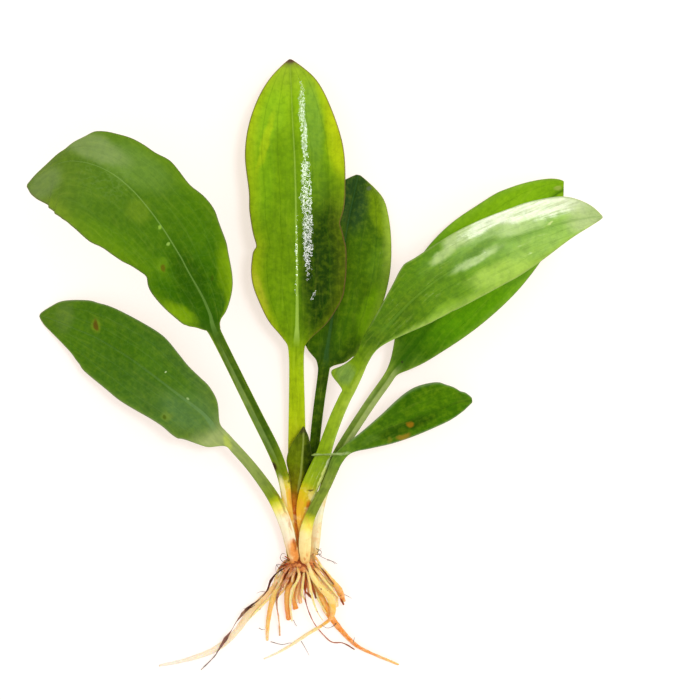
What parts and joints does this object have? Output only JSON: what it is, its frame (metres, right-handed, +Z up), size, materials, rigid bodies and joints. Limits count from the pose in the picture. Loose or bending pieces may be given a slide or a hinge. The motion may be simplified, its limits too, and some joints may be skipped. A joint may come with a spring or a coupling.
{
  "type": "amazon sword plant",
  "caption": "Bare-root amazon sword plant lying flat: oval green leaves on petioles that clasp a short crown, with a fan of pale, orange and dark roots below it.",
  "frame": {"origin": "the middle of the underside of the box around the whole plant, on the surface it lies on", "axes": "+Y from the roots to the leaf tips, +X to the right seen from above with the leaves up, +Z up from the surface"},
  "size_m": [0.1638, 0.1821, 0.0364],
  "materials": {
    "bright_leaf": "wet, glossy leaf, yellow-green, paler along the midrib and the margins",
    "green_leaf": "satin green leaf with faint lengthwise veins and a few brown spots",
    "dark_leaf": "darker satin green leaf",
    "crown": "moist orange-brown rhizome",
    "pale_root": "moist, pale yellow root",
    "orange_root": "moist, orange root",
    "dark_root": "old, dark brown root"
  },
  "bodies": {
    "root": {"leaf_tall_centre": "bright_leaf", "leaf_low_behind": "dark_leaf", "leaf_upper_left": "green_leaf", "leaf_lower_left": "green_leaf", "leaf_right_front": "bright_leaf", "leaf_right_back": "green_leaf", "leaf_small_right": "green_leaf", "leaf_young_folded": "dark_leaf", "crown": "crown", "root_long_left": "pale_root", "root_stub_left": "pale_root", "root_yellow_left": "pale_root", "root_pale_thin": "pale_root", "root_pale_middle": "pale_root", "root_thin_right": "pale_root", "root_bent_pale": "pale_root", "root_right_inner": "pale_root", "root_orange_left": "orange_root", "root_club": "orange_root", "root_pink_middle": "orange_root", "root_long_right": "orange_root", "root_right_bunch": "orange_root", "root_dark_left": "dark_root", "root_thin_brown": "dark_root", "root_dark_middle": "dark_root", "root_dark_stub": "dark_root"}
  },
  "joints": []
}
